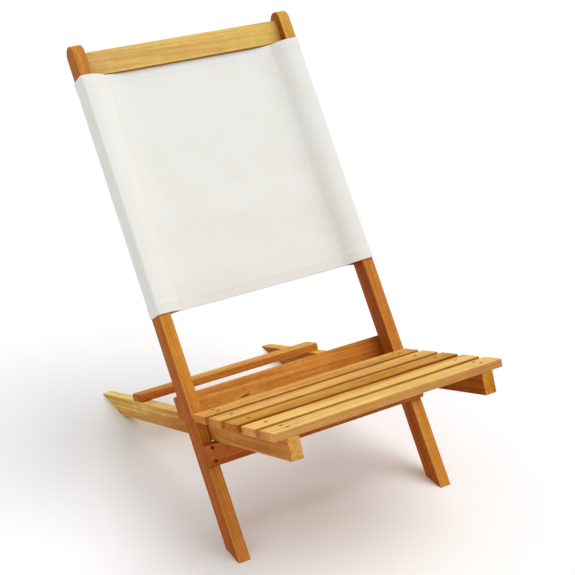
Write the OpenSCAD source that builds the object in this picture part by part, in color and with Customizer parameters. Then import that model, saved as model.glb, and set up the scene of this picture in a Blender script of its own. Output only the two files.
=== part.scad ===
// Two-part folding chair: a slatted seat frame that slides through a sling back frame.
// Lengths are in millimetres, angles in degrees.
// The chair faces -Y, +X is across it and +Z is up. The origin is on the ground,
// under the middle of the chair's bounding box.

/* [Back frame] */
// Overall width across the outer faces of the two stiles
overall_w = 424; // [380:2:480]
// Width of one stile, across the chair
stile_w = 22; // [20:1:26]
// Depth of one stile, front to rear
stile_d = 36; // [32:1:40]
// Length of one stile along its front face
stile_len = 909; // [860:1:960]
// Lean of the stiles, back from upright
stile_lean = 38.2; // [36:0.1:40]
// Height of the top rail
top_rail_h = 44; // [36:1:60]
// Thickness of the top rail
top_rail_t = 18; // [15:1:19]
// Distance from the stiles' front faces back to the top rail's front face
top_rail_inset = 17; // [16:0.5:17]
// Distance from the stiles' upper ends down to the top rail's upper edge
top_rail_drop = 14; // [12:1:20]

/* [Cross members] */
// Distance up the stiles' front faces to the crosspiece that carries the seat rails
crosspiece_top = 201; // [196:1:206]
// Height of the crosspiece
crosspiece_h = 41; // [40:1:46]
// Thickness of the crosspiece and of the rear board
board_t = 18; // [16:1:20]
// Height of the rear board at its front face
rear_board_h = 41; // [36:1:46]

/* [Seat frame] */
// Width of one seat rail, across the chair
rail_w = 22; // [20:1:24]
// Height of one seat rail
rail_h = 36; // [32:1:38]
// Length of one seat rail along its upper edge
rail_len = 765; // [760:1:780]
// Slope of the seat rails, rising towards the front
rail_slope = 22.9; // [22:0.1:24]
// Thickness of the seat slats and of the rear crossbar
slat_t = 14; // [12:1:18]
// Width of one seat slat
slat_w = 45; // [40:1:48]
// Width of the rear crossbar
crossbar_w = 40; // [36:1:48]
// How far each slat end stops short of the stiles' outer faces
slat_inset = 1.5; // [0:0.5:4]
// Distance along the seat rails from their rear tips to the rear crossbar
crossbar_at = 164; // [140:1:180]

/* [Sling] */
// Distance up the stiles' front faces to the sling's lower hem
sling_bottom = 424; // [400:1:460]
// Thickness of the canvas, doubled where it is stitched
canvas_t = 1; // [0.8:0.1:1.2]
// Distance from a stile's inner face to the stitched line that closes its sleeve
sleeve_reach = 27; // [24:1:32]
// Depth of the sling's panel behind the stiles' front faces
panel_depth = 22; // [17:0.5:24]

/* [Fasteners] */
// Diameter of a screw's head
screw_head_d = 7; // [6.5:0.5:9]
// Diameter of a screw's shank
screw_d = 4; // [3.5:0.5:4.5]
// Diameter of the top rail's dowels
dowel_d = 8; // [6:1:10]

/* [Hidden] */
$fn = 48;

pale_wood = "#d9a14e";
mid_wood = "#c07f38";
canvas = "#f2f1ea";
steel = "#8f8a80";
dowel_wood = "#d8bd8c";

// Gaps left between pieces that slide past each other or only touch in use
side_gap = 0.5;
seat_gap = 0.3;
// Gap between the sling's sleeves and the stiles, and between its top hem and the top rail
sleeve_gap = 0.3;
hem_gap = 1;
// Width of the seam that closes a sleeve
seam_w = 4;
// Radius of the eased edges on frame timber and on slats
edge_r = 2;
slat_edge_r = 2.5;

// Lateral places of the stiles and rails
stile_x = overall_w / 2 - stile_w / 2;
inner_w = overall_w - 2 * stile_w;
rail_x = inner_w / 2 - side_gap - rail_w / 2;
slat_len = overall_w - 2 * slat_inset;
rail_outer_w = 2 * rail_x + rail_w;
top_rail_top = stile_len - top_rail_drop;
sling_h = top_rail_top - top_rail_h - hem_gap - sling_bottom;

// Angle between a stile's front face and the square of the rails
cross_angle = stile_lean - rail_slope;
// Place of the rail tips behind the stiles' front toes, so that the rails' lower edges
// pass just above the crosspiece
rail_low = crosspiece_top + seat_gap / cos(cross_angle);
tip_y = rail_low * sin(stile_lean)
    + rail_low * cos(stile_lean) / tan(rail_slope)
    + rail_h / sin(rail_slope);
// Distance along the rails' upper edge to the stiles' front faces
stop_at = tip_y * cos(stile_lean) / cos(cross_angle);
// Height of the rails' upper edge on the stiles, at their front and at their rear faces
rail_top_front = tip_y * sin(rail_slope) / cos(cross_angle);
rail_top_rear = rail_top_front + stile_d * tan(cross_angle);
board_bottom = rail_top_rear + seat_gap / cos(cross_angle);

// The slats are evenly spaced: slat 1 lies against the stiles, and slat 5 ends flush with
// the rails. Each one's middle is given as a distance along the rails
slat_count = 5;
first_slat = stop_at + seat_gap + slat_w / 2;
slat_pitch = (rail_len - slat_w / 2 - first_slat) / (slat_count - 1);
function slat_at(n) = first_slat + (n - 1) * slat_pitch;

// Half the distance between two screws of a pair
screw_pair = 10;
function slat_screws(n) = n == 1 || n == slat_count
    ? [slat_at(n) - screw_pair, slat_at(n) + screw_pair]
    : [slat_at(n)];

// Screw sizes: a conical head sunk just below the surface, and a plain shank
head_h = 2.2;
head_sink = 0.8;
recess_w = 1.1;
recess_l = 4.2;
recess_depth = 1.4;
recess_turn = 20;
slat_screw_len = 38;
frame_screw_len = 38;
crossbar_screw_len = 40;
crossbar_screw_sink = 5;
// Share of the crosspiece's thickness that is planed off its lower edge
planed_share = 0.54;
// Screws of the crosspiece, measured down from its top, and how deep each head sits
crosspiece_screw_drops = [11, 33];
crosspiece_screw_sinks = [3.5, 7];
// Screws of the rear board, measured up from its lower edge at the stiles' rear faces
board_screw_rises = [14, 32];

// Dowels of the top rail: depth in the stile, length, and half their spacing
dowel_in_stile = 16;
dowel_len = 36;
dowel_pair = 12;

// The chair's middle, halfway between the rail tips and the front lower rail corners
front_y = tip_y - rail_len * cos(rail_slope) - rail_h * sin(rail_slope);
middle_y = (tip_y + front_y) / 2;
// Side of the block that stands for the space above the ground
ground = 1200;

// Places children given in the back frame's own axes: x across, y into the stiles from
// their front faces, z up along them from the front toes
module on_back() {
    translate([0, -middle_y, 0]) rotate([-stile_lean, 0, 0]) children();
}

// Places children given in the seat frame's own axes: x across, y back along the rails'
// upper edge from their rear tips, z square to that edge
module on_seat() {
    translate([0, tip_y - middle_y, 0]) rotate([-rail_slope, 0, 0]) children();
}

// Keeps only what is above the ground
module above_ground() {
    intersection() {
        children();
        translate([-ground / 2, -ground / 2, 0]) cube([ground, ground, ground]);
    }
}

// A rectangle centred on the origin, with rounded corners
module rounded_rect(w, h, r) {
    square([w - 2 * r, h], center = true);
    square([w, h - 2 * r], center = true);
    for (sx = [-1, 1], sy = [-1, 1])
        translate([sx * (w / 2 - r), sy * (h / 2 - r)]) circle(r = r);
}

// The corners of an outline eased by curves that start r away from each corner
function eased(points, r, steps = 4) = [
    for (i = [0 : len(points) - 1])
        let (
            p = points[i],
            before = points[(i + len(points) - 1) % len(points)] - p,
            after = points[(i + 1) % len(points)] - p
        )
        for (k = [0 : steps])
            let (t = k / steps)
            p + r * (pow(1 - t, 2) * before / norm(before) + pow(t, 2) * after / norm(after))
];

// A board across the back frame, given by its section, with its long edges and its ends'
// upright edges eased
module cross_board(section) {
    depths = [for (p = section) p[0]];
    depth = max(depths) - min(depths);
    on_back() intersection() {
        rotate([90, 0, 90])
            linear_extrude(overall_w, center = true) polygon(eased(section, edge_r));
        translate([0, min(depths) + depth / 2, 0])
            linear_extrude(stile_len) rounded_rect(overall_w, depth, edge_r);
    }
}

// A block centred on the origin with all its edges eased
module eased_block(x, y, z, r) {
    intersection() {
        linear_extrude(z, center = true) rounded_rect(x, y, r);
        rotate([90, 0, 0]) linear_extrude(y, center = true) rounded_rect(x, z, r);
        rotate([90, 0, 90]) linear_extrude(x, center = true) rounded_rect(y, z, r);
    }
}

// Countersunk screw driven along -z, with its head's rim at z = 0
module screw(length) {
    difference() {
        union() {
            translate([0, 0, -head_h]) cylinder(d1 = screw_d, d2 = screw_head_d, h = head_h);
            translate([0, 0, -length]) cylinder(d = screw_d, h = length - head_h);
        }
        for (turn = [0, 90])
            rotate(turn + recess_turn)
                translate([-recess_l / 2, -recess_w / 2, -recess_depth])
                    cube([recess_l, recess_w, recess_depth + 1]);
    }
}

// Hole for such a screw, open upwards to where it leaves the wood
module screw_hole(length, open) {
    translate([0, 0, -head_h]) cylinder(d1 = screw_d, d2 = screw_head_d, h = head_h);
    cylinder(d = screw_head_d, h = open);
    translate([0, 0, -length]) cylinder(d = screw_d, h = length - head_h);
}

// One stile with its foot cut level and its upper end fully rounded
module stile(side) {
    below = 2 * stile_d;
    color(mid_wood) difference() {
        above_ground() on_back() translate([side * stile_x, stile_d / 2, 0]) {
            translate([0, 0, -below])
                linear_extrude(below + stile_len - stile_d / 2)
                    rounded_rect(stile_w, stile_d, edge_r);
            translate([0, 0, stile_len - stile_d / 2])
                rotate([0, 90, 0]) rounded_disc(stile_d, stile_w, edge_r);
        }
        crosspiece_holes(side);
        board_holes(side);
        dowel_holes(side);
    }
}

// Flat disc on the origin with its rim eased, for a stile's rounded end
module rounded_disc(d, w, r) {
    rotate_extrude() intersection() {
        translate([0, -w / 2]) square([d / 2, w]);
        rounded_rect(d, w, r);
    }
}

// The screws that hold the crosspiece to the stile on one side
module at_crosspiece_screws(side) {
    for (i = [0, 1])
        on_back()
            translate([side * stile_x, -board_t + crosspiece_screw_sinks[i],
                crosspiece_top - crosspiece_screw_drops[i]])
                rotate([90, 0, 0]) children();
}

module crosspiece_holes(side) {
    at_crosspiece_screws(side) screw_hole(frame_screw_len, board_t);
}

// The screws that hold the rear board to the stile on one side
module at_board_screws(side) {
    for (rise = board_screw_rises)
        on_back()
            translate([side * stile_x, stile_d + board_t - head_sink, board_bottom + rise])
                rotate([-90, 0, 0]) children();
}

module board_holes(side) {
    at_board_screws(side) screw_hole(frame_screw_len, board_t);
}

// The two dowels that join the top rail to the stile on one side
module at_dowels(side) {
    for (up = [-1, 1])
        on_back()
            translate([side * (inner_w / 2 + dowel_in_stile), top_rail_inset + top_rail_t / 2,
                top_rail_top - top_rail_h / 2 + up * dowel_pair])
                rotate([0, -side * 90, 0]) children();
}

module dowel_holes(side) {
    at_dowels(side) cylinder(d = dowel_d, h = dowel_len);
}

// Wide top rail between the stiles, set back from their front faces
module top_rail() {
    color(pale_wood) difference() {
        on_back()
            translate([0, top_rail_inset + top_rail_t / 2, top_rail_top - top_rail_h / 2])
                rotate([90, 0, 90])
                    linear_extrude(inner_w, center = true)
                        rounded_rect(top_rail_t, top_rail_h, edge_r);
        for (side = [-1, 1]) dowel_holes(side);
    }
}

module top_rail_dowels() {
    color(dowel_wood) for (side = [-1, 1])
        at_dowels(side) cylinder(d = dowel_d, h = dowel_len);
}

// Crosspiece on the stiles' front faces: its top lies under the rails, at their slope, and
// the lower part of its front is planed back to upright
module front_crosspiece() {
    slant = board_t * tan(cross_angle);
    planed = board_t * planed_share;
    lower = crosspiece_top - crosspiece_h;
    color(mid_wood) difference() {
        cross_board([
            [0, lower],
            [planed - board_t, lower],
            [-board_t, lower + planed / tan(stile_lean)],
            [-board_t, crosspiece_top - slant],
            [0, crosspiece_top]
        ]);
        for (side = [-1, 1]) crosspiece_holes(side);
    }
}

module front_crosspiece_screws() {
    color(steel) for (side = [-1, 1])
        at_crosspiece_screws(side) screw(frame_screw_len);
}

// Board on the stiles' rear faces, which holds the rails down: its lower face lies just
// above them, at their slope, and its upper rear edge is chamfered
module rear_board() {
    chamfer = 4;
    rear = stile_d + board_t;
    top = board_bottom + rear_board_h;
    color(mid_wood) difference() {
        cross_board([
            [stile_d, board_bottom],
            [rear, board_bottom + board_t * tan(cross_angle)],
            [rear, top - chamfer],
            [rear - chamfer, top],
            [stile_d, top]
        ]);
        for (side = [-1, 1]) board_holes(side);
    }
}

module rear_board_screws() {
    color(steel) for (side = [-1, 1])
        at_board_screws(side) screw(frame_screw_len);
}

// Canvas sling: a flat panel that closes round each stile in a sleeve
module back_sling() {
    skin = sleeve_gap + canvas_t;
    seam_x = inner_w / 2 - sleeve_reach;
    in_x = inner_w / 2;
    out_x = overall_w / 2;
    right_half = [
        [seam_x, panel_depth - canvas_t / 2],
        [in_x, -skin],
        [out_x + skin, -skin],
        [out_x + skin, stile_d + skin],
        [in_x, stile_d + skin],
        [seam_x, panel_depth + canvas_t / 2]
    ];
    left_half = [for (i = [5 : -1 : 0]) [-right_half[i][0], right_half[i][1]]];
    color(canvas) on_back() translate([0, 0, sling_bottom]) linear_extrude(sling_h)
        difference() {
            polygon(concat(right_half, left_half));
            for (side = [0, 1]) mirror([side, 0]) polygon([
                [seam_x + seam_w, panel_depth],
                [in_x - sleeve_gap, -sleeve_gap],
                [out_x + sleeve_gap, -sleeve_gap],
                [out_x + sleeve_gap, stile_d + sleeve_gap],
                [in_x - sleeve_gap, stile_d + sleeve_gap]
            ]);
        }
}

// One seat rail: square at the front, cut level where its rear tip rests on the ground
module rail(side) {
    below = 2 * rail_h;
    color(pale_wood) difference() {
        above_ground() on_seat()
            translate([side * rail_x, below / 2 - rail_len / 2, -rail_h / 2])
                eased_block(rail_w, rail_len + below, rail_h, edge_r);
        for (n = [1 : slat_count]) slat_holes(n, side);
        crossbar_hole(side);
    }
}

// Screws through the top of the seat frame at the given distances along the rails
module at_seat_screws(places, side) {
    for (a = places)
        on_seat() translate([side * rail_x, -a, slat_t - head_sink]) children();
}

module slat_holes(n, side) {
    at_seat_screws(slat_screws(n), side) screw_hole(slat_screw_len, slat_t);
}

// The screw that holds the rear crossbar, driven up through the rail on one side
module at_crossbar_screw(side) {
    on_seat()
        translate([side * rail_x, -crossbar_at - crossbar_w / 2, crossbar_screw_sink - rail_h])
            rotate([180, 0, 0]) children();
}

module crossbar_hole(side) {
    at_crossbar_screw(side) screw_hole(crossbar_screw_len, rail_h);
}

// One seat slat, across the tops of the rails
module slat(n) {
    color(pale_wood) difference() {
        on_seat()
            translate([0, -slat_at(n), slat_t / 2])
                eased_block(slat_len, slat_w, slat_t, slat_edge_r);
        for (side = [-1, 1]) slat_holes(n, side);
    }
}

module slat_screw_set(n) {
    color(steel) for (side = [-1, 1])
        at_seat_screws(slat_screws(n), side) screw(slat_screw_len);
}

// Crossbar on top of the rails near their rear tips
module rear_crossbar() {
    color(mid_wood) difference() {
        on_seat()
            translate([0, -crossbar_at - crossbar_w / 2, slat_t / 2])
                eased_block(rail_outer_w, crossbar_w, slat_t, slat_edge_r);
        for (side = [-1, 1]) crossbar_hole(side);
    }
}

module rear_crossbar_screws() {
    color(steel) for (side = [-1, 1]) at_crossbar_screw(side) screw(crossbar_screw_len);
}

stile(-1);  // left_stile
stile(1);  // right_stile
top_rail();
top_rail_dowels();
front_crosspiece();
front_crosspiece_screws();
rear_board();
rear_board_screws();
back_sling();
rail(-1);  // left_rail
rail(1);  // right_rail
slat(1);  // slat_1
slat(2);  // slat_2
slat(3);  // slat_3
slat(4);  // slat_4
slat(5);  // slat_5
slat_screw_set(1);  // slat_1_screws
slat_screw_set(2);  // slat_2_screws
slat_screw_set(3);  // slat_3_screws
slat_screw_set(4);  // slat_4_screws
slat_screw_set(5);  // slat_5_screws
rear_crossbar();
rear_crossbar_screws();
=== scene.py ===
import math
import random

import bpy
import numpy as np
from mathutils import Matrix, Vector


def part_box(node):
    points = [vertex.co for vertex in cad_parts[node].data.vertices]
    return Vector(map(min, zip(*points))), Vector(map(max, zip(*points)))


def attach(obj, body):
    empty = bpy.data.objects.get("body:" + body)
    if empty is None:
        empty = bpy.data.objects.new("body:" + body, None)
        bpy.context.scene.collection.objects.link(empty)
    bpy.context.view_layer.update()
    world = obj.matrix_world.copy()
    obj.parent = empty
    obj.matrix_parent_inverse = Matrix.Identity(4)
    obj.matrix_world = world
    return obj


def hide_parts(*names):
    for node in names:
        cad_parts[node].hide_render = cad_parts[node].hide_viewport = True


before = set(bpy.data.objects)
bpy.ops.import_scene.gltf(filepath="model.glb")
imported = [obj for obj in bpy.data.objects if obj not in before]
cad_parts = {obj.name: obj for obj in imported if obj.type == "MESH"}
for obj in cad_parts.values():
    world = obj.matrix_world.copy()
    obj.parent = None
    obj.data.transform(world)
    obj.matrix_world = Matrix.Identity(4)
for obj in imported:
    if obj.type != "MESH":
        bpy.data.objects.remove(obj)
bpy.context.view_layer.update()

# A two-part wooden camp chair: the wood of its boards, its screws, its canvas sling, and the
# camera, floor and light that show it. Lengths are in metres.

# ---------------------------------------------------------------- the frame's own axes

X = Vector((1, 0, 0))
# How far apart in x the ends of an edge may be, if it doesn't run across the chair
SAME_X = 1e-5


def long_axis(node):
    """Direction, taken upwards, of a node's longest edge that doesn't run across the chair."""
    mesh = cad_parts[node].data
    best = Vector((0, 0, 0))
    for e in mesh.edges:
        d = mesh.vertices[e.vertices[1]].co - mesh.vertices[e.vertices[0]].co
        if abs(d.x) < SAME_X and d.length > best.length:
            best = d
    best.normalize()
    return best if best.z > 0 else -best


BACK_UP = long_axis("left_stile")
BACK_IN = Vector((0, BACK_UP.z, -BACK_UP.y))
SEAT_FORWARD = long_axis("left_rail")
SEAT_UP = Vector((0, SEAT_FORWARD.z, -SEAT_FORWARD.y))


def span(node, axis):
    """Where a node begins and ends along an axis."""
    along = [v.co.dot(axis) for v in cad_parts[node].data.vertices]
    return min(along), max(along)


def middle(node, axes):
    """The point in the middle of a node's extent along three axes square to each other."""
    return sum((a * (sum(span(node, a)) / 2) for a in axes), Vector((0, 0, 0)))


# ---------------------------------------------------------------- shader building blocks


class Nodes:
    """Adds and links the nodes of one material."""

    def __init__(self, name):
        self.material = bpy.data.materials.new(name)
        self.material.use_nodes = True
        self.tree = self.material.node_tree
        self.tree.nodes.clear()
        out = self.tree.nodes.new("ShaderNodeOutputMaterial")
        self.shader = self.tree.nodes.new("ShaderNodeBsdfPrincipled")
        self.link(self.shader.outputs[0], out.inputs["Surface"])

    def link(self, source, target):
        self.tree.links.new(source, target)

    def feed(self, socket, value):
        """Puts a number, a vector or another node's output into a socket."""
        if isinstance(value, bpy.types.NodeSocket):
            self.link(value, socket)
        elif value is not None:
            socket.default_value = value

    def position(self):
        """Each point's place in the frame."""
        return self.tree.nodes.new("ShaderNodeTexCoord").outputs["Object"]

    def math(self, kind, a, b=None, c=None, clamp=False):
        n = self.tree.nodes.new("ShaderNodeMath")
        n.operation = kind
        n.use_clamp = clamp
        for socket, value in zip(n.inputs, (a, b, c)):
            self.feed(socket, value)
        return n.outputs[0]

    def vector(self, kind, a, b=None):
        n = self.tree.nodes.new("ShaderNodeVectorMath")
        n.operation = kind
        self.feed(n.inputs[0], a)
        self.feed(n.inputs[1], b)
        return n.outputs["Value" if kind in ("DOT_PRODUCT", "LENGTH") else "Vector"]

    def combine(self, x, y, z):
        n = self.tree.nodes.new("ShaderNodeCombineXYZ")
        for socket, value in zip(n.inputs, (x, y, z)):
            self.feed(socket, value)
        return n.outputs[0]

    def split(self, vector):
        n = self.tree.nodes.new("ShaderNodeSeparateXYZ")
        self.feed(n.inputs[0], vector)
        return n.outputs

    def noise(self, vector, detail=3.0, rough=0.5):
        """Soft noise between 0 and 1, mostly near 0.5, that repeats about once a unit."""
        n = self.tree.nodes.new("ShaderNodeTexNoise")
        self.feed(n.inputs["Vector"], vector)
        n.inputs["Scale"].default_value = 1.0
        n.inputs["Detail"].default_value = detail
        n.inputs["Roughness"].default_value = rough
        return n.outputs["Fac"]

    def fit(self, value, low, high, to_low=0.0, to_high=1.0, smooth=True):
        """Turns the range from low to high into to_low to to_high, and holds it beyond them."""
        n = self.tree.nodes.new("ShaderNodeMapRange")
        n.interpolation_type = "SMOOTHSTEP" if smooth else "LINEAR"
        for socket, v in zip(n.inputs, (value, low, high, to_low, to_high)):
            self.feed(socket, v)
        return n.outputs[0]

    def mix(self, factor, a, b, blend="MIX"):
        n = self.tree.nodes.new("ShaderNodeMix")
        n.data_type = "RGBA"
        n.blend_type = blend
        self.feed(n.inputs[0], factor)
        for socket, value in ((n.inputs[6], a), (n.inputs[7], b)):
            if isinstance(value, tuple):
                value = (*value, 1.0)
            self.feed(socket, value)
        return n.outputs[2]

    def bump(self, height, distance, strength, normal=None):
        """A normal that shows a height, where a height of 1 is as high as the distance."""
        n = self.tree.nodes.new("ShaderNodeBump")
        self.feed(n.inputs["Height"], height)
        n.inputs["Distance"].default_value = distance
        n.inputs["Strength"].default_value = strength
        if normal is not None:
            self.link(normal, n.inputs["Normal"])
        return n.outputs[0]


def srgb(r, g, b):
    """A colour given in 0 to 255 display values, as linear values."""
    def linear(c):
        c /= 255
        return c / 12.92 if c <= 0.04045 else ((c + 0.055) / 1.055) ** 2.4
    return tuple(linear(c) for c in (r, g, b))


# ---------------------------------------------------------------- wood

# The strip along a board's edges that is rubbed and carries a painted highlight, and the part of it
# that is bare
EDGE_WIDTH = 0.0016
EDGE_BARE = 0.0003
# The figure's layers: how often each repeats a metre along the grain and across it, its detail
# and roughness, the values where its effect begins and is full, and its effect on the shade
LAYERS = {
    "streak": ((5, 210), 4, 0.62, 0.32, 0.68, 0.32),
    "broad": ((1.6, 16), 2, 0.5, 0.3, 0.7, 0.27),
    "silk": ((48, 26), 2, 0.5, 0.3, 0.7, 0.11),
    "fleck": ((150, 420), 2, 0.55, 0.3, 0.7, 0.13),
    "fine": ((14, 900), 3, 0.6, 0.25, 0.75, 0.13),
}
# What late wood adds to the shade, and the shade where there is no figure
LATE_SHADE = 0.34
MEAN_SHADE = 0.34
# How often the other noises repeat, in the same way
WANDER_RATE = (2.2, 9)
RIPPLE_RATE = (9, 60)
PORE_RATE = (150, 2300)
HUE_RATE = (1.7, 17)
HEART_RATE = (1.3, 26)
RUB_AND_HIGHLIGHT_RATE = (40, 90)
RAG_RATE = 260
# Growth rings: the fewest and most in a metre, and the pith's distance from a board's back,
# which grows by PITH_AWAY as the board is less flat sawn
RINGS = (190, 250)
PITH_NEAR = 0.012
PITH_AWAY = 0.05
PITH_WANDER = 0.011
RING_RIPPLE = 0.0016
# How far the pith may lean away from the board's length, and how much of that goes sideways
LEAN = 0.035
LEAN_ASIDE = 0.6
# Tones, times the board's colour: its golden and russet drift, its palest and darkest streaks,
# its heartwood, its pores, its rubbed edges with their painted highlight, and the halo and the core of
# a knot
GOLDEN = (1.05, 1.13, 1.02)
RUSSET = (0.97, 0.87, 0.86)
PALE_STREAK = (1.14, 1.17, 1.24)
DARK_STREAK = (0.76, 0.65, 0.53)
HEARTWOOD = (0.70, 0.53, 0.42)
PORE = (0.50, 0.36, 0.28)
RUB_AND_HIGHLIGHT = (1.2, 1.28, 1.6)
KNOT_HALO = (1.12, 1.2, 1.05)
KNOT_CORE = (0.22, 0.15, 0.12)
# How much of each of these shows at most
HEART_SHARE = 0.5
PORE_SHARE = 0.5
RUB_AND_HIGHLIGHT_SHARE = 0.55
HALO_SHARE = 0.45
# The oil's roughness on pale and on dark streaks, what a pore adds, and its weak gloss
OIL_ROUGHNESS = (0.42, 0.56)
PORE_ROUGHNESS = 0.12
OIL_GLOSS = 0.04
# Depth of the grain's relief, and the part that fine grain, pores and late wood have in it
RELIEF = 0.0004
RELIEF_STRENGTH = 0.55
FINE_RELIEF = 0.25
PORE_RELIEF = 0.8
LATE_RELIEF = 0.2
# How squarely a face looks along a direction where that face's painted shade and light begins, and is
# full
FACING = (0.45, 0.95)
# Painted shade and light of single faces, times the board's colour: faces darker or paler by how light
# falls on them
LEFT_STILE_SIDE = (0.68, 0.44, 0.27)
RIGHT_STILE_SIDE = (0.65, 0.40, 0.30)
LEFT_RAIL_SIDE = (0.88, 0.69, 0.56)
LEFT_RAIL_TOP = (1.20, 1.24, 1.36)
RIGHT_RAIL_SIDE = (0.52, 0.31, 0.32)
SLAT_END = (0.86, 0.57, 0.58)
SLAT_FRONT = (0.68, 0.48, 0.54)
SLAT_GAP = (0.52, 0.35, 0.34)
CROSSBAR_FRONT = (0.80, 0.60, 0.78)
CROSSBAR_END = (0.70, 0.42, 0.42)
BOARD_END = (0.70, 0.54, 0.44)
BOARD_EDGE = (0.72, 0.54, 0.45)
TOP_RAIL_UNDERSIDE = (0.44, 0.29, 0.20)


class Board(Nodes):
    """The material of one board, with its own directions along, across and through the grain."""

    def __init__(self, name, node, axes, seed):
        super().__init__(name)
        self.rng = random.Random(seed)
        centre = middle(node, axes)
        self.halves = [(span(node, a)[1] - span(node, a)[0]) / 2 for a in axes]
        self.place = self.vector("SUBTRACT", self.position(), tuple(centre))
        self.along, self.across, self.through = (
            self.vector("DOT_PRODUCT", self.place, tuple(a)) for a in axes
        )
        # The place across the board that its grain follows, which knots push aside
        self.width = self.across
        self.shift = [self.rng.uniform(-20, 20) for _ in range(3)]

    def grain(self, rate, detail, rough=0.5):
        """Noise that is drawn out along the grain."""
        lengthwise, crosswise = rate
        return self.noise(self.combine(
            self.math("MULTIPLY_ADD", self.along, lengthwise, self.shift[0]),
            self.math("MULTIPLY_ADD", self.width, crosswise, self.shift[1]),
            self.math("MULTIPLY_ADD", self.through, crosswise, self.shift[2]),
        ), detail, rough)

    def grow_knots(self, knots):
        """Parts the grain round each knot, and returns where their halos and cores are.

        A knot was sawn along its length, so it shows as a dark sliver."""
        bend, halo, core = 0.0, 0.0, 0.0
        for k_along, k_across, k_length, k_thick, k_tilt in knots:
            da = self.math("SUBTRACT", self.along, k_along)
            dc = self.math("SUBTRACT", self.across, k_across)
            lengthwise = self.math("ADD", self.math("MULTIPLY", da, math.cos(k_tilt)),
                                   self.math("MULTIPLY", dc, math.sin(k_tilt)))
            sideways = self.math("SUBTRACT", self.math("MULTIPLY", dc, math.cos(k_tilt)),
                                 self.math("MULTIPLY", da, math.sin(k_tilt)))

            def from_knot(length, thickness):
                """Distance from the knot's middle: 1 on an ellipse with these half axes."""
                return self.vector("LENGTH", self.combine(
                    self.math("DIVIDE", lengthwise, length),
                    self.math("DIVIDE", sideways, thickness), 0))

            ragged = self.noise(self.vector("MULTIPLY", self.place, (RAG_RATE,) * 3), 3, 0.6)
            far = self.math("ADD", from_knot(k_length / 2, k_thick / 2),
                            self.fit(ragged, 0, 1, -0.5, 0.5))
            core = self.math("MAXIMUM", core, self.fit(far, 1.25, 0.65))
            wide = from_knot(k_length, k_thick * 3)
            push = self.math("EXPONENT", self.math("MULTIPLY", self.math("MULTIPLY", wide, wide), -1.0))
            bend = self.math("ADD", bend, self.math("MULTIPLY", push, k_thick * 2.2))
            halo = self.math("MAXIMUM", halo, self.fit(wide, 1.3, 0.3, 0.0, HALO_SHARE))
        if knots:
            self.width = self.math("ADD", self.across, bend)
        return halo, core

    def late_wood(self, flat_sawn):
        """Where the growth rings are dark. They run round a pith that lies outside the board."""
        wander = self.fit(self.grain(WANDER_RATE, 2), 0, 1, -PITH_WANDER, PITH_WANDER, False)
        ripple = self.fit(self.grain(RIPPLE_RATE, 2), 0, 1, -RING_RIPPLE, RING_RIPPLE, False)
        lean = self.rng.uniform(-LEAN, LEAN)
        pith_across = self.rng.uniform(-0.5, 0.5) * self.halves[1] * 2
        pith_through = -(PITH_NEAR + PITH_AWAY * (1 - flat_sawn)) - self.halves[2]
        dx = self.math("MULTIPLY_ADD", self.along, lean * LEAN_ASIDE, -pith_across)
        dx = self.math("ADD", self.math("ADD", dx, wander), self.width)
        dz = self.math("MULTIPLY_ADD", self.along, lean, -pith_through)
        dz = self.math("ADD", self.math("ADD", dz, ripple), self.through)
        radius = self.math("SQRT", self.math("ADD", self.math("MULTIPLY", dx, dx),
                                             self.math("MULTIPLY", dz, dz)))
        ring = self.math("FRACT", self.math("MULTIPLY", radius, self.rng.uniform(*RINGS)))
        # Each ring darkens slowly and ends at once
        return self.math("MULTIPLY", self.fit(ring, 0.15, 0.9), self.fit(ring, 1.0, 0.92))

    def long_edges(self):
        """1 on the board's four long edges, 0 away from them."""
        across, through = (
            self.fit(self.math("ABSOLUTE", side), half - EDGE_WIDTH, half - EDGE_BARE)
            for side, half in ((self.across, self.halves[1]), (self.through, self.halves[2]))
        )
        return self.math("MULTIPLY", across, through)


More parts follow.
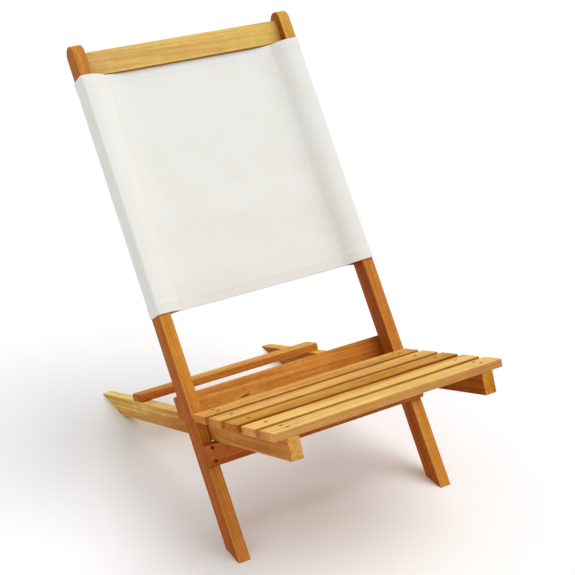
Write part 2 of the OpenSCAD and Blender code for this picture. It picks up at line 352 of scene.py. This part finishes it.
def wood(name, node, axes, seed, colour, flat_sawn, figured, knots, oiled, length_light_and_shade):
    """Oiled hardwood whose grain runs along axes[0] of a CAD node.

    axes are the node's length, width and thickness. colour is the board's mean display colour.
    flat_sawn moves the tree's pith nearer to the board, which opens the rings on its faces.
    figured is how strongly the grain shows. knots are (along, across, length, thickness, tilt)
    from the board's middle, in metres and radians. oiled are (normal, tone) of the
    faces with painted shade and light, darker or paler by how light falls on them.
    length_light_and_shade are (begin, full, tone): painted shade and light along the board, where
    a tone begins and is full, from -1 at one end of the grain to 1 at the other."""
    n = Board(name, node, axes, seed)
    halo, core = n.grow_knots(knots)
    late = n.late_wood(flat_sawn)
    # Pores: short dark dashes along the grain
    pores = n.fit(n.grain(PORE_RATE, 1, 0.4), 0.64, 0.74)

    def times(tone):
        return tuple(min(1, c * k) for c, k in zip(colour, tone))

    base = n.mix(n.fit(n.grain(HUE_RATE, 3), 0.34, 0.66), times(GOLDEN), times(RUSSET))
    figure = {}
    shade = n.math("MULTIPLY", late, LATE_SHADE)
    for layer, (rate, detail, rough, low, high, effect) in LAYERS.items():
        figure[layer] = n.grain(rate, detail, rough)
        shade = n.math("ADD", shade, n.fit(figure[layer], low, high, -effect, effect))
    shade = n.math("MULTIPLY_ADD", shade, figured, MEAN_SHADE, clamp=True)
    base = n.mix(1.0, base, n.mix(shade, PALE_STREAK, DARK_STREAK), "MULTIPLY")
    heart = n.fit(n.grain(HEART_RATE, 3, 0.6), 0.56, 0.72, 0.0, HEART_SHARE)
    base = n.mix(heart, base, times(HEARTWOOD))
    base = n.mix(n.math("MULTIPLY", pores, PORE_SHARE * figured), base, times(PORE))
    if knots:
        base = n.mix(halo, base, times(KNOT_HALO))
        base = n.mix(core, base, times(KNOT_CORE))

    # Rubbed long edges, where the finish is thin and the wood a little paler, with a painted highlight
    # along the edges
    rub_and_highlight = n.fit(n.grain(RUB_AND_HIGHLIGHT_RATE, 3), 0.3, 0.7, 0.0, RUB_AND_HIGHLIGHT_SHARE)
    base = n.mix(n.math("MULTIPLY", n.long_edges(), rub_and_highlight), base, times(RUB_AND_HIGHLIGHT))

    # Painted shade and light on whole faces: each darker or paler by the way it faces, as light falls
    # on it
    normal = n.tree.nodes.new("ShaderNodeNewGeometry").outputs["Normal"]
    for axis, tone in oiled:
        towards = n.vector("DOT_PRODUCT", normal, tuple(axis))
        base = n.mix(n.fit(towards, *FACING), base, tone, "MULTIPLY")
    # Painted shade and light along the board, darker or paler towards its ends
    for begin, full, tone in length_light_and_shade:
        share = n.fit(n.along, begin * n.halves[0], full * n.halves[0])
        base = n.mix(share, base, tone, "MULTIPLY")
    n.feed(n.shader.inputs["Base Color"], base)

    rough = n.math("ADD", n.fit(figure["streak"], 0.3, 0.7, *OIL_ROUGHNESS),
                   n.math("MULTIPLY", pores, PORE_ROUGHNESS))
    n.feed(n.shader.inputs["Roughness"], rough)
    n.shader.inputs["Specular IOR Level"].default_value = OIL_GLOSS
    relief = n.math("SUBTRACT", n.math("MULTIPLY", figure["fine"], FINE_RELIEF),
                    n.math("MULTIPLY", pores, PORE_RELIEF))
    relief = n.math("SUBTRACT", relief, n.math("MULTIPLY", late, LATE_RELIEF))
    n.feed(n.shader.inputs["Normal"], n.bump(relief, RELIEF, RELIEF_STRENGTH))
    return n.material


def dress(node, material):
    """Gives a CAD node its material."""
    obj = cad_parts[node]
    if not obj.material_slots:
        obj.data.materials.append(material)
    for s in obj.material_slots:
        s.material = material


def both(axis, tone):
    """The two faces square to an axis, and their tone."""
    return ((axis, tone), (-axis, tone))


BACK_BOARD = (X, BACK_UP, BACK_IN)
SEAT_BOARD = (X, SEAT_FORWARD, SEAT_UP)
STILE = (BACK_UP, BACK_IN, X)
RAIL = (SEAT_FORWARD, SEAT_UP, X)
# Each board's length, width and thickness axes, its seed, its mean colour, how flat it was
# sawn, and how strongly it is figured
BOARDS = {
    "left_stile": (STILE, 11, srgb(203, 136, 54), 0.4, 1.0),
    "right_stile": (STILE, 12, srgb(207, 136, 62), 0.5, 1.0),
    "top_rail": (BACK_BOARD, 13, srgb(222, 186, 108), 0.8, 0.6),
    "front_crosspiece": (BACK_BOARD, 14, srgb(191, 107, 50), 0.6, 1.3),
    "rear_board": (BACK_BOARD, 15, srgb(207, 137, 61), 0.7, 1.3),
    "left_rail": (RAIL, 16, srgb(208, 152, 78), 0.3, 1.5),
    "right_rail": (RAIL, 17, srgb(202, 141, 47), 0.5, 1.1),
    "rear_crossbar": (SEAT_BOARD, 18, srgb(233, 168, 66), 0.4, 1.0),
    "slat_1": (SEAT_BOARD, 21, srgb(218, 165, 83), 0.5, 1.2),
    "slat_2": (SEAT_BOARD, 22, srgb(222, 173, 91), 0.7, 0.9),
    "slat_3": (SEAT_BOARD, 23, srgb(203, 148, 52), 0.4, 1.2),
    "slat_4": (SEAT_BOARD, 24, srgb(232, 188, 104), 0.8, 0.8),
    "slat_5": (SEAT_BOARD, 25, srgb(230, 190, 106), 0.3, 0.8),
}
# The faces with painted shade and light of their own. A slat that isn't named has SLAT_FACES.
SLAT_FACES = both(X, SLAT_END) + both(SEAT_FORWARD, SLAT_GAP)
BOARD_FACES = both(X, BOARD_END) + both(BACK_UP, BOARD_EDGE)
FACE_LIGHT_AND_SHADE = {
    "left_stile": both(X, LEFT_STILE_SIDE),
    "right_stile": both(X, RIGHT_STILE_SIDE),
    "top_rail": both(X, BOARD_END) + ((BACK_UP, BOARD_EDGE), (-BACK_UP, TOP_RAIL_UNDERSIDE)),
    "front_crosspiece": BOARD_FACES,
    "rear_board": BOARD_FACES,
    "left_rail": both(X, LEFT_RAIL_SIDE) + ((SEAT_UP, LEFT_RAIL_TOP),),
    "right_rail": both(X, RIGHT_RAIL_SIDE),
    "slat_5": both(X, SLAT_END) + ((SEAT_FORWARD, SLAT_FRONT), (-SEAT_FORWARD, SLAT_GAP)),
    "rear_crossbar": both(X, CROSSBAR_END) + both(SEAT_FORWARD, CROSSBAR_FRONT),
}
# Painted shade and light that come in along the grain, which runs from left to right, up or forwards: a
# board darker or paler towards an end by how light falls there
LENGTH_LIGHT_AND_SHADE = {
    "top_rail": ((0, 0.9, (0.94, 0.88, 0.80)), (0, -0.9, (0.97, 0.94, 1.0))),
    "left_stile": ((0, 0.9, (1.04, 1.13, 1.35)), (0, -0.9, (1.03, 0.92, 1.2))),
    "right_stile": ((0, 0.9, (0.97, 1.22, 1.2)), (0, -0.9, (1.18, 1.46, 1.36))),
    "left_rail": ((0, 0.9, (0.92, 0.90, 0.95)), (0.1, -0.35, (1.46, 2.34, 3.15))),
    "right_rail": ((0.1, -0.35, (1.28, 1.48, 1.50)),),
    "rear_crossbar": ((-0.35, -0.7, (0.86, 0.66, 0.50)), (0.4, 0.85, (1.03, 1.22, 1.18))),
    "rear_board": ((0.1, 0.75, (0.82, 0.68, 0.53)), (0.65, 0.95, (0.62, 0.42, 0.46)),
                   (-0.15, -0.6, (1.05, 1.15, 1.26))),
}
KNOTS = {"rear_board": ((-0.093, -0.0125, 0.024, 0.003, 0.12),)}

# The screws' plating: how often its dull spots repeat a metre, its colours where it is bright
# and dull, how metallic it is, its roughness in the same two places, and the spots' relief
GRIME_RATE = 900
BRIGHT_BRASS = srgb(176, 128, 70)
DULL_BRASS = srgb(96, 62, 34)
BRASS_METALLIC = 0.85
BRASS_ROUGHNESS = (0.38, 0.6)
BRASS_RELIEF = 0.0001
BRASS_STRENGTH = 0.4


def brass(name):
    """Yellow-plated steel, unevenly dulled."""
    n = Nodes(name)
    grime = n.noise(n.vector("MULTIPLY", n.position(), (GRIME_RATE,) * 3), 3, 0.6)
    tint = n.mix(n.fit(grime, 0.35, 0.65), BRIGHT_BRASS, DULL_BRASS)
    n.feed(n.shader.inputs["Base Color"], tint)
    n.shader.inputs["Metallic"].default_value = BRASS_METALLIC
    n.feed(n.shader.inputs["Roughness"], n.fit(grime, 0.3, 0.7, *BRASS_ROUGHNESS))
    n.feed(n.shader.inputs["Normal"], n.bump(grime, BRASS_RELIEF, BRASS_STRENGTH))
    return n.material


def dress_boards():
    """Gives each board its wood, the screws their metal, and the dowels a stile's wood."""
    for node, (axes, seed, colour, flat_sawn, figured) in BOARDS.items():
        dress(node, wood(
            f"wood_{node}", node, axes, seed, colour, flat_sawn, figured,
            KNOTS.get(node, ()), FACE_LIGHT_AND_SHADE.get(node, SLAT_FACES), LENGTH_LIGHT_AND_SHADE.get(node, ()),
        ))
    metal = brass("screw_metal")
    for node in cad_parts:
        if node.endswith("_screws"):
            dress(node, metal)
    dress("top_rail_dowels", bpy.data.materials["wood_right_stile"])


# ---------------------------------------------------------------- the sling

# Thickness of the cloth, and of its folded hems
CLOTH = 0.0009
HEM_CLOTH = 0.0016
# Gap between the cloth and the stiles
CLEARANCE = 0.0004
# Height of a hem. Its stitches are HEM_STITCH short of that height, its thickness is full until
# HEM_FULL short of it, and is gone HEM_GONE past it.
HEM = 0.018
HEM_STITCH = 0.003
HEM_FULL = 0.002
HEM_GONE = 0.008
# Between the seams the top edge rises, until it almost touches the top rail
TOP_RISE = 0.0005
TOP_RISE_OVER = 0.1
# The sleeves: how much further they stand off the stiles' fronts than off their other faces,
# and the radii they turn through at the outer front, outer rear and inner rear corners
CROWN = 0.0013
FRONT_TURN = 0.0045
REAR_TURN = 0.003
INNER_TURN = 0.002
# The seams: their distance inside the stiles, their depth and the panel's, measured from the
# stiles' front faces, and the cloth beyond them
SEAM_INWARD = 0.027
SEAM_DEPTH = 0.0148
PANEL_DEPTH = 0.0228
ALLOWANCE = 0.012
# The front's fall from a stile to the panel: it begins inside the sleeve's outer face, is
# steepest just outside the seam, ends inside it, and the last of it levels out over the panel
FALL_BEGIN = 0.008
STEEPEST = 0.007
FALL_END = 0.005
FALL_POWER = 1.35
LEVEL_BEGIN = 0.003
LEVEL_OVER = 0.055
LEVEL_POWER = 2.5
# Gap between the layers in a seam, and the two rows of stitches beside it
SEAM_GAP = 0.0002
SEAM_ROWS = (0.002, 0.008)
# Spacing, share of it that shows, and radius of the stitches, and where their rows stop
STITCH = 0.0034
STITCH_SHARE = 0.76
THREAD = 0.00027
ROW_END = 0.004
# The cloth's mesh: its columns across the front and in the seam allowance, and its rows
FRONT_STEP = 0.0013
ALLOWANCE_STEP = 0.0015
ROW_STEP = 0.0016
HEM_ZONE = 0.028
# The cloth's unevenness between the stiles: its sag, and the waves on top of it, which are
# half as high where they repeat this many radians a metre up the cloth
SAG = 0.0016
WAVE = 0.00045
WAVE_HALVED = 25
WAVE_COUNT = 9

STILE_IN = abs(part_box("left_stile")[1][0])
STILE_OUT = abs(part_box("left_stile")[0][0])
SEAM = STILE_IN - SEAM_INWARD
FRONT, REAR = span("left_stile", BACK_IN)
STILE_DEPTH = REAR - FRONT
SLING_BOTTOM, SLING_TOP = span("back_sling", BACK_UP)
FACE = CLEARANCE + CLOTH
OUTER = STILE_OUT + FACE


def smooth(a, b, x):
    """0 up to a, 1 from b on, and an even S-curve between."""
    k = np.clip((np.asarray(x, float) - a) / (b - a), 0, 1)
    return k * k * k * (k * (6 * k - 15) + 10)


def arc(cx, ct, r, first, last, steps):
    """Points of an arc, without its first one, with angles in degrees."""
    angles = np.radians(np.linspace(first, last, steps + 1)[1:])
    return [(cx + r * math.cos(a), ct + r * math.sin(a)) for a in angles]


def front_depth():
    """The cloth's front from the stile's outer corner in to the middle: (across, depth).

    It leaves the stile slowly, turns down ever more steeply to the seam, and then levels out."""
    begin = -FACE - CROWN
    across = np.arange(OUTER - FRONT_TURN, 0, -FRONT_STEP)
    begin_fall, steepest = OUTER - FALL_BEGIN, SEAM + STEEPEST
    slope = np.clip((begin_fall - across) / (begin_fall - steepest), 0, 1) ** FALL_POWER
    slope *= smooth(SEAM - FALL_END, steepest, across)
    fallen = np.cumsum(slope)
    depth = begin + (SEAM_DEPTH - begin) * fallen / fallen[-1]
    level = np.clip((SEAM + LEVEL_BEGIN - across) / LEVEL_OVER, 0, 1)
    depth += (PANEL_DEPTH - SEAM_DEPTH) * (1 - (1 - level) ** LEVEL_POWER)
    return across, depth


def half_profile():
    """The cloth's outer face on the right half, from the middle round the stile to its end.

    Each point is (across, depth, layers), where layers is how many hems push its face out."""
    across, depth = front_depth()
    path = [(x, t, 0 if x < SEAM else 1) for x, t in zip(across[::-1], depth[::-1])]
    path[0] = (0.0, depth[-1], 0)
    side_from, side_to = depth[0] + FRONT_TURN, STILE_DEPTH + FACE - REAR_TURN
    sleeve = arc(OUTER - FRONT_TURN, side_from, FRONT_TURN, -90, 0, 8)
    sleeve += [(OUTER, t) for t in np.linspace(side_from, side_to, 12)[1:-1]]
    sleeve += arc(OUTER - REAR_TURN, side_to, REAR_TURN, 0, 90, 6)
    # Back layer: flat behind the stile, round its inner corner and straight to the seam
    round_it = FACE + INNER_TURN
    cx, ct = STILE_IN + INNER_TURN, STILE_DEPTH - INNER_TURN
    sleeve += [(x, ct + round_it) for x in np.linspace(OUTER - REAR_TURN, cx, 8)[1:]]
    stack = 2 * CLOTH + SEAM_GAP
    meet = float(np.interp(SEAM, across[::-1], depth[::-1])) + stack
    reach = math.hypot(cx - SEAM, ct - meet)
    turn = math.atan2(ct - meet, cx - SEAM) + math.asin(round_it / reach)
    sleeve += arc(cx, ct, round_it, 90, 90 + math.degrees(turn), 7)
    x, t = sleeve[-1]
    sleeve += [(x + (SEAM - x) * k, t + (meet - t) * k) for k in np.linspace(0, 1, 17)[1:]]
    path += [(x, t, 1) for x, t in sleeve]
    ends = np.arange(SEAM - ALLOWANCE_STEP, SEAM - ALLOWANCE, -ALLOWANCE_STEP)
    lies = np.interp(ends, across[::-1], depth[::-1]) + stack
    return path + [(x, t, 2) for x, t in zip(ends, lies)]


HALF = half_profile()
# The whole strip's outer face, its direction, how far across the flat cloth each point is, and
# how many hems push it out, evened over five points
STRIP = np.array([(-x, t, n) for x, t, n in reversed(HALF[1:])] + HALF)
TURNING = np.gradient(STRIP[:, :2], axis=0)
TURNING /= np.linalg.norm(TURNING, axis=1)[:, None]
LENGTHS = np.linalg.norm(np.diff(STRIP[:, :2], axis=0), axis=1)
ACROSS = np.concatenate(([0], np.cumsum(LENGTHS)))
ACROSS -= ACROSS[-1] / 2
UNDER = np.convolve(np.pad(STRIP[:, 2], 2, mode="edge"), np.ones(5) / 5, mode="valid")
# Where the sleeves' seams cross the cloth's front, measured across it
FRONT_HALF = (ACROSS >= 0) & (ACROSS <= ACROSS[np.argmax(STRIP[:, 0])])
SEAM_AT = float(np.interp(SEAM, STRIP[FRONT_HALF, 0], ACROSS[FRONT_HALF]))

wave_maker = random.Random(3)
# Each wave's radians a metre across the panel and up it, and its phase
WAVES = [
    (wave_maker.uniform(0, 14), wave_maker.uniform(8, 75), wave_maker.uniform(0, 6.3))
    for _ in range(WAVE_COUNT)
]


def hem_at(s):
    """1 in the two hems, 0 between them."""
    low, high = SLING_BOTTOM + HEM, SLING_TOP - HEM
    in_low = 1 - smooth(low - HEM_FULL, low + HEM_GONE, s)
    return np.maximum(in_low, smooth(high - HEM_GONE, high + HEM_FULL, s))


def unevenness(x, s):
    """How far the stretched cloth lies behind its smooth shape: nothing at the stiles."""
    free = 1 - smooth(SEAM - 0.04, STILE_IN - 0.004, np.abs(x))
    height = (s - SLING_BOTTOM) / (SLING_TOP - SLING_BOTTOM)
    total = SAG * np.sin(np.pi * np.clip(height, 0, 1))
    for kx, ks, phase in WAVES:
        total = total + WAVE / (1 + ks / WAVE_HALVED) * np.cos(kx * x + ks * s + phase)
    return free * total


def on_cloth(across, s, inward=0.0):
    """Points a given way across the strip and up the stiles, at a depth under its outer face."""
    across, s = np.broadcast_arrays(np.asarray(across, float), np.asarray(s, float))
    x, t, tx, tt, under = (
        np.interp(across, ACROSS, column)
        for column in (STRIP[:, 0], STRIP[:, 1], TURNING[:, 0], TURNING[:, 1], UNDER)
    )
    free = 1 - smooth(SEAM - 0.03, SEAM + 0.01, np.abs(x))
    s = s + TOP_RISE * free * smooth(SLING_TOP - TOP_RISE_OVER, SLING_TOP, s)
    out = under * (HEM_CLOTH - CLOTH) * hem_at(s) - inward
    px = x + tt * out
    pt = t - tx * out + unevenness(x, s)
    return px[..., None] * np.array(X) + (FRONT + pt)[..., None] * np.array(BACK_IN) \
        + s[..., None] * np.array(BACK_UP)


def cloth_loop():
    """Once round the cloth's thickness, up its outer face and down its inner one: (s, inward)."""
    rows = list(np.arange(SLING_BOTTOM + 0.002, SLING_BOTTOM + HEM_ZONE, ROW_STEP))
    rows += list(np.linspace(SLING_BOTTOM + HEM_ZONE, SLING_TOP - HEM_ZONE, 60))
    rows += list(np.arange(SLING_TOP - HEM_ZONE + ROW_STEP, SLING_TOP - 0.0015, ROW_STEP))
    r = HEM_CLOTH / 2
    turns = [math.pi * k / 6 for k in range(7)]
    loop = [(s, 0.0) for s in rows]
    loop += [(SLING_TOP - r + r * math.sin(a), r - r * math.cos(a)) for a in turns]
    loop += [(s, CLOTH + (HEM_CLOTH - CLOTH) * float(hem_at(s))) for s in reversed(rows)]
    loop += [(SLING_BOTTOM + r - r * math.sin(a), r + r * math.cos(a)) for a in turns]
    return np.array(loop)


def new_piece(name, points, faces, material):
    """A piece of the back frame, made from a mesh's points and faces."""
    mesh = bpy.data.meshes.new(name)
    mesh.from_pydata(points, [], faces)
    mesh.polygons.foreach_set("use_smooth", [True] * len(mesh.polygons))
    mesh.materials.append(material)
    piece = bpy.data.objects.new(name, mesh)
    bpy.context.scene.collection.objects.link(piece)
    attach(piece, "back_frame")
    return piece


def make_sling(material):
    """The sling as one closed mesh: the cloth's strip, swept round its thickness.

    Each point keeps its place on the flat cloth, which the weave follows."""
    loop = cloth_loop()
    count = len(loop)
    across = np.repeat(ACROSS, count)
    s = np.tile(loop[:, 0], len(ACROSS))
    inward = np.tile(loop[:, 1], len(ACROSS))
    points = on_cloth(across, s, inward)
    faces = []
    for i in range(len(ACROSS) - 1):
        for k in range(count):
            n = (k + 1) % count
            a, b = i * count, (i + 1) * count
            faces.append((a + k, b + k, b + n, a + n))
    faces.append(tuple(range(count)))
    faces.append(tuple(reversed(range(len(points) - count, len(points)))))
    sling = new_piece("sling", points.tolist(), faces, material)
    place = sling.data.attributes.new("cloth", "FLOAT_VECTOR", "POINT")
    place.data.foreach_set("vector", np.stack([across, s - SLING_BOTTOM, inward], 1).ravel())
    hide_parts("back_sling")
    return sling


def stitch_rows():
    """Every stitch as its two ends: (across, s, across, s)."""
    found = []
    for row in (SLING_BOTTOM + HEM - HEM_STITCH, SLING_TOP - HEM + HEM_STITCH):
        starts = np.arange(ACROSS[0] + ROW_END, ACROSS[-1] - ROW_END, STITCH)
        found += [(u, row, u + STITCH * STITCH_SHARE, row) for u in starts]
    ends = ACROSS[-1] - ALLOWANCE
    for row in [SEAM_AT - r for r in SEAM_ROWS] + [ends + r for r in SEAM_ROWS]:
        for side in (-1, 1):
            starts = np.arange(SLING_BOTTOM + ROW_END, SLING_TOP - ROW_END, STITCH)
            found += [(side * row, s, side * row, s + STITCH * STITCH_SHARE) for s in starts]
    return found


def make_stitches(material):
    """Each stitch is a short thread that dips into the cloth at both ends."""
    rise = (-0.0002, 0.0001, 0.00018, 0.0001, -0.0002)
    sides = 6
    points, faces = [], []
    for u1, s1, u2, s2 in stitch_rows():
        share = np.linspace(0, 1, len(rise))
        line = on_cloth(u1 + (u2 - u1) * share, s1 + (s2 - s1) * share, -np.array(rise))
        out = on_cloth(u1, s1, -0.001) - on_cloth(u1, s1, 0.0)
        out /= np.linalg.norm(out)
        run = line[-1] - line[0]
        side = np.cross(run / np.linalg.norm(run), out)
        first = len(points)
        for p in line:
            for k in range(sides):
                a = 2 * math.pi * k / sides
                points.append((p + THREAD * (math.cos(a) * side + math.sin(a) * out)).tolist())
        for ring in range(len(rise) - 1):
            for k in range(sides):
                n = (k + 1) % sides
                a, b = first + ring * sides, first + (ring + 1) * sides
                faces.append((a + k, a + n, b + n, b + k))
        faces.append(tuple(first + k for k in reversed(range(sides))))
        faces.append(tuple(len(points) - sides + k for k in range(sides)))
    stitches = new_piece("sling_stitches", points, faces, material)
    return stitches


# The cotton's roughness, its weak gloss, and its sheen with that sheen's own roughness
COTTON_ROUGHNESS = 0.88
COTTON_GLOSS = 0.12
SHEEN = 0.12
SHEEN_ROUGHNESS = 0.5
# Spacing of the cloth's threads, how far they drift in shares of it, and their relief
PITCH = 0.00078
DRIFT = 0.35
WEAVE_RELIEF = 0.00012
WEAVE_STRENGTH = 0.5
# How far the puckers reach from a hem's and from a seam's stitches, and their relief
HEM_PUCKER = 0.014
SEAM_PUCKER = 0.016
PUCKER_RELIEF = 0.0009
PUCKER_STRENGTH = 0.3
# How often the noise in the cloth repeats, per metre: the threads' drift, slubs along and
# across a thread, fuzz, the tone, and puckers along a seam and away from it
DRIFT_RATE = 130
SLUB_RATE = (45, 900)
FUZZ_RATE = 2600
TONE_RATE = 14
PUCKER_RATE = (120, 22)
# Tones, times the cloth's colour
WARM = (0.955, 0.945, 0.92)
GAP_SHADE = 0.72


def canvas(name, colour, woven=True):
    """Cotton. Woven, it is a plain canvas that follows each point's place on the flat cloth."""
    n = Nodes(name)
    n.shader.inputs["Roughness"].default_value = COTTON_ROUGHNESS
    n.shader.inputs["Specular IOR Level"].default_value = COTTON_GLOSS
    n.shader.inputs["Sheen Weight"].default_value = SHEEN
    n.shader.inputs["Sheen Roughness"].default_value = SHEEN_ROUGHNESS
    if not woven:
        n.shader.inputs["Base Color"].default_value = (*colour, 1)
        return n.material
    source = n.tree.nodes.new("ShaderNodeAttribute")
    source.attribute_name = "cloth"
    u, v, _ = n.split(source.outputs["Vector"])

    def flat_noise(u_rate, v_rate, layer, detail=2, rough=0.5):
        """Noise on the flat cloth. Different layers don't repeat each other."""
        at = n.combine(n.math("MULTIPLY", u, u_rate), n.math("MULTIPLY", v, v_rate), layer)
        return n.noise(at, detail, rough)

    # Threads over and under each other, with slubs that wander in thickness
    drift = n.fit(flat_noise(DRIFT_RATE, DRIFT_RATE, 0), 0, 1, -DRIFT, DRIFT, False)
    over, under = (
        n.math("SINE", n.math("MULTIPLY", n.math("ADD", n.math("DIVIDE", side, PITCH), drift), math.pi))
        for side in (u, v)
    )
    wave = n.math("MULTIPLY", over, under)
    rounded = n.math("MINIMUM", n.math("ABSOLUTE", over), n.math("ABSOLUTE", under))
    weave = n.math("ADD", n.math("MULTIPLY", wave, 0.5), n.math("MULTIPLY", rounded, 0.6))
    slow, quick = SLUB_RATE
    slubs = n.math("ADD", flat_noise(quick, slow, 0), flat_noise(slow, quick, 4))
    fuzz = flat_noise(FUZZ_RATE, FUZZ_RATE, 0, 3, 0.6)

    tone = flat_noise(TONE_RATE, TONE_RATE, 0, 4, 0.55)
    shade = n.math("ADD", n.fit(slubs, 0.7, 1.3, 0.0, 0.5), n.fit(tone, 0.3, 0.7, 0.0, 0.5))
    base = n.mix(shade, colour, tuple(c * k for c, k in zip(colour, WARM)))
    gaps = n.fit(weave, 0.0, -0.45, 0.0, 0.22)
    base = n.mix(gaps, base, tuple(c * GAP_SHADE for c in colour))
    n.feed(n.shader.inputs["Base Color"], base)

    # Puckers that run out from the stitched lines
    height = SLING_TOP - SLING_BOTTOM
    near_hem = n.math("MINIMUM", *(
        n.math("ABSOLUTE", n.math("SUBTRACT", v, row))
        for row in (HEM - HEM_STITCH, height - HEM + HEM_STITCH)
    ))
    seam_row = SEAM_AT - sum(SEAM_ROWS) / 2
    near_seam = n.math("ABSOLUTE", n.math("SUBTRACT", n.math("ABSOLUTE", u), seam_row))
    beside, away = PUCKER_RATE
    hem_pucker = n.math("MULTIPLY", n.fit(near_hem, HEM_PUCKER, 0.0), flat_noise(beside, away, 2))
    seam_pucker = n.math("MULTIPLY", n.fit(near_seam, SEAM_PUCKER, 0.0), flat_noise(away, beside, 6))
    soft = n.bump(n.math("ADD", hem_pucker, seam_pucker), PUCKER_RELIEF, PUCKER_STRENGTH)
    threads = n.math("ADD", weave, n.math("MULTIPLY", slubs, 0.35))
    threads = n.math("ADD", threads, n.math("MULTIPLY", fuzz, 0.35))
    n.feed(n.shader.inputs["Normal"], n.bump(threads, WEAVE_RELIEF, WEAVE_STRENGTH, soft))
    return n.material


CREAM = srgb(238, 238, 234)
THREAD_CREAM = srgb(232, 230, 222)


def make_back_cloth():
    """The sling and its stitches."""
    sling = make_sling(canvas("sling_canvas", CREAM))
    stitches = make_stitches(canvas("sling_thread", THREAD_CREAM, woven=False))


# ---------------------------------------------------------------- camera, floor and light

SENSOR = 36.0
LENS = 85.25
CAMERA_AZIMUTH = math.radians(30.74)
CAMERA_HEIGHT = math.radians(27.43)
CAMERA_ROLL = math.radians(-0.09)
CAMERA_DISTANCE = 2.0111
CAMERA_TARGET = Vector((-0.1225, -0.2353, 0.4791))


def make_camera():
    """The camera, which looks at its target from the front, the left and above."""
    data = bpy.data.cameras.new("camera")
    data.lens = LENS
    data.sensor_width = SENSOR
    camera = bpy.data.objects.new("camera", data)
    bpy.context.scene.collection.objects.link(camera)
    level = math.cos(CAMERA_HEIGHT)
    back = Vector((
        -math.sin(CAMERA_AZIMUTH) * level,
        -math.cos(CAMERA_AZIMUTH) * level,
        math.sin(CAMERA_HEIGHT),
    ))
    right = (-back).cross(Vector((0, 0, 1))).normalized()
    up = back.cross(right)
    turn = Matrix((right, up, back)).transposed()
    camera.matrix_world = (
        Matrix.Translation(CAMERA_TARGET + back * CAMERA_DISTANCE)
        @ turn.to_4x4()
        @ Matrix.Rotation(CAMERA_ROLL, 4, "Z")
    )
    bpy.context.scene.camera = camera


FLOOR_SIZE = 40.0
FLOOR_GREY = 0.95
FLOOR_ROUGHNESS = 0.95
FLOOR_GLOSS = 0.1
SKY_TOP = 0.80
SKY_LOW = 0.46
SUN_STRENGTH = 1.45
SUN_FROM = Vector((0.42, -0.12, 0.90))
SUN_WIDTH = math.radians(46)


def make_floor():
    """A wide pale floor at the height of the chair's feet."""
    bpy.ops.mesh.primitive_plane_add(size=FLOOR_SIZE)
    floor = bpy.context.object
    floor.name = "floor"
    n = Nodes("floor_paint")
    n.shader.inputs["Base Color"].default_value = (FLOOR_GREY, FLOOR_GREY, FLOOR_GREY, 1)
    n.shader.inputs["Roughness"].default_value = FLOOR_ROUGHNESS
    n.shader.inputs["Specular IOR Level"].default_value = FLOOR_GLOSS
    floor.data.materials.append(n.material)


def make_light():
    """An even white sky, brighter overhead, and one wide lamp from above and the right."""
    world = bpy.data.worlds.new("studio")
    bpy.context.scene.world = world
    world.use_nodes = True
    tree = world.node_tree
    background = tree.nodes["Background"]
    background.inputs["Color"].default_value = (1, 1, 1, 1)
    direction = tree.nodes.new("ShaderNodeTexCoord").outputs["Generated"]
    height = tree.nodes.new("ShaderNodeSeparateXYZ")
    tree.links.new(direction, height.inputs[0])
    brightness = tree.nodes.new("ShaderNodeMapRange")
    tree.links.new(height.outputs["Z"], brightness.inputs["Value"])
    brightness.inputs["To Min"].default_value = SKY_LOW
    brightness.inputs["To Max"].default_value = SKY_TOP
    tree.links.new(brightness.outputs[0], background.inputs["Strength"])

    data = bpy.data.lights.new("overhead", "SUN")
    data.energy = SUN_STRENGTH
    data.angle = SUN_WIDTH
    lamp = bpy.data.objects.new("overhead", data)
    bpy.context.scene.collection.objects.link(lamp)
    lamp.rotation_euler = (-SUN_FROM).to_track_quat("-Z", "Y").to_euler()
    bpy.context.scene.view_settings.view_transform = "Standard"


make_camera()
make_floor()
make_light()
dress_boards()
make_back_cloth()
